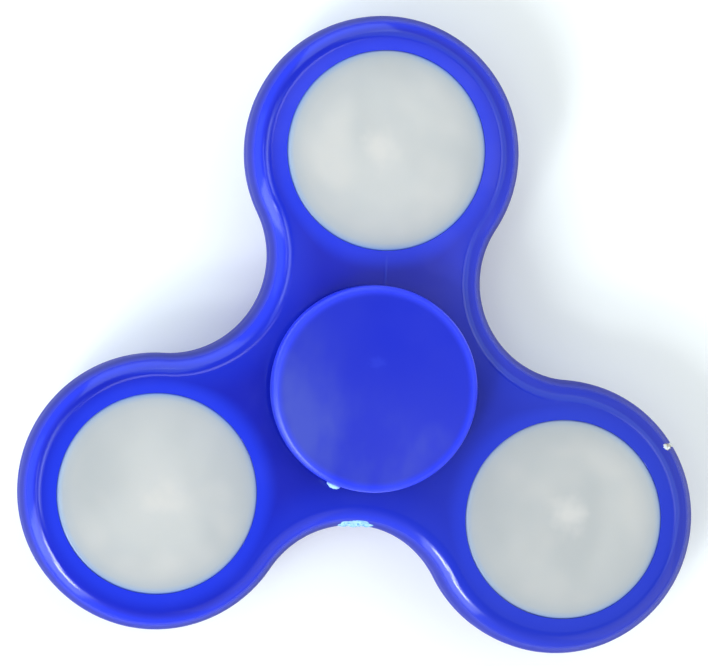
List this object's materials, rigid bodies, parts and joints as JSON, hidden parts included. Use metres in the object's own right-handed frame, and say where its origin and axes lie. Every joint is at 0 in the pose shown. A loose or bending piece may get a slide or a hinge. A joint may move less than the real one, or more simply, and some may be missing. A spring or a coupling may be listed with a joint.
{
  "type": "light-up hand spinner",
  "caption": "Three-lobed blue hand spinner that turns on a ball bearing between dished finger caps, with a round milky push-to-light pod in each lobe.",
  "frame": {"origin": "on the spin axis, in the plane that the rear finger cap rests on", "axes": "+Z along the spin axis from the rear cap to the front cap, +Y from the axis to the first lobe, +X completes a right-handed frame"},
  "size_m": [0.075, 0.0691, 0.0162],
  "materials": {
    "frame_blue": "glossy",
    "cap_blue": "satin gloss",
    "lens_milky": "translucent gloss",
    "case_milky": "translucent gloss",
    "race_steel": "ground and polished",
    "ball_steel": "mirror polished",
    "cage_nylon": "satin",
    "board_green": "solder mask",
    "diode_body": "gloss",
    "chip_black": "matte",
    "switch_black": "matte",
    "plunger_plastic": "matte",
    "cover_steel": "plated",
    "dome_metal": "plated",
    "cell_steel": "plated",
    "clip_metal": "plated"
  },
  "bodies": {
    "hub": {"front_cap": "cap_blue", "rear_cap": "cap_blue", "inner_race": "race_steel"},
    "rotor": {"frame": "frame_blue", "outer_race": "race_steel", "pod_case_1": "case_milky", "circuit_board_1": "board_green", "light_diodes_1": "diode_body", "controller_chip_1": "chip_black", "switch_base_1": "switch_black", "switch_cover_1": "cover_steel", "switch_dome_1": "dome_metal", "coin_cell_1": "cell_steel", "battery_clip_1": "clip_metal", "pod_case_2": "case_milky", "circuit_board_2": "board_green", "light_diodes_2": "diode_body", "controller_chip_2": "chip_black", "switch_base_2": "switch_black", "switch_cover_2": "cover_steel", "switch_dome_2": "dome_metal", "coin_cell_2": "cell_steel", "battery_clip_2": "clip_metal", "pod_case_3": "case_milky", "circuit_board_3": "board_green", "light_diodes_3": "diode_body", "controller_chip_3": "chip_black", "switch_base_3": "switch_black", "switch_cover_3": "cover_steel", "switch_dome_3": "dome_metal", "coin_cell_3": "cell_steel", "battery_clip_3": "clip_metal"},
    "ball_ring": {"bearing_balls": "ball_steel", "ball_cage": "cage_nylon"},
    "lens_1": {"pod_lens_1": "lens_milky"},
    "plunger_1": {"switch_plunger_1": "plunger_plastic"},
    "lens_2": {"pod_lens_2": "lens_milky"},
    "plunger_2": {"switch_plunger_2": "plunger_plastic"},
    "lens_3": {"pod_lens_3": "lens_milky"},
    "plunger_3": {"switch_plunger_3": "plunger_plastic"}
  },
  "joints": [
    {"name": "spin", "type": "hinge", "parent": "hub", "child": "rotor", "pos_m": [0, 0, 0.0081], "axis": [0, 0, 1], "continuous": true},
    {"name": "cage_spin", "type": "hinge", "parent": "hub", "child": "ball_ring", "pos_m": [0, 0, 0.0081], "axis": [0, 0, 1], "continuous": true},
    {"name": "lens_1_press", "type": "slide", "parent": "rotor", "child": "lens_1", "axis": [0, 0, -1], "range_m": [0, 0.0003], "stiffness_N_per_m": 2000, "springref_m": -0.0005},
    {"name": "plunger_1_press", "type": "slide", "parent": "rotor", "child": "plunger_1", "axis": [0, 0, -1], "range_m": [0, 0.0003], "deforming": ["switch_dome_1"]},
    {"name": "lens_2_press", "type": "slide", "parent": "rotor", "child": "lens_2", "axis": [0, 0, -1], "range_m": [0, 0.0003], "stiffness_N_per_m": 2000, "springref_m": -0.0005},
    {"name": "plunger_2_press", "type": "slide", "parent": "rotor", "child": "plunger_2", "axis": [0, 0, -1], "range_m": [0, 0.0003], "deforming": ["switch_dome_2"]},
    {"name": "lens_3_press", "type": "slide", "parent": "rotor", "child": "lens_3", "axis": [0, 0, -1], "range_m": [0, 0.0003], "stiffness_N_per_m": 2000, "springref_m": -0.0005},
    {"name": "plunger_3_press", "type": "slide", "parent": "rotor", "child": "plunger_3", "axis": [0, 0, -1], "range_m": [0, 0.0003], "deforming": ["switch_dome_3"]}
  ],
  "couplings": [
    {"joint": "cage_spin", "follows": "spin", "ratio": 0.6323},
    {"joint": "plunger_1_press", "follows": "lens_1_press", "ratio": 1},
    {"joint": "plunger_2_press", "follows": "lens_2_press", "ratio": 1},
    {"joint": "plunger_3_press", "follows": "lens_3_press", "ratio": 1}
  ]
}
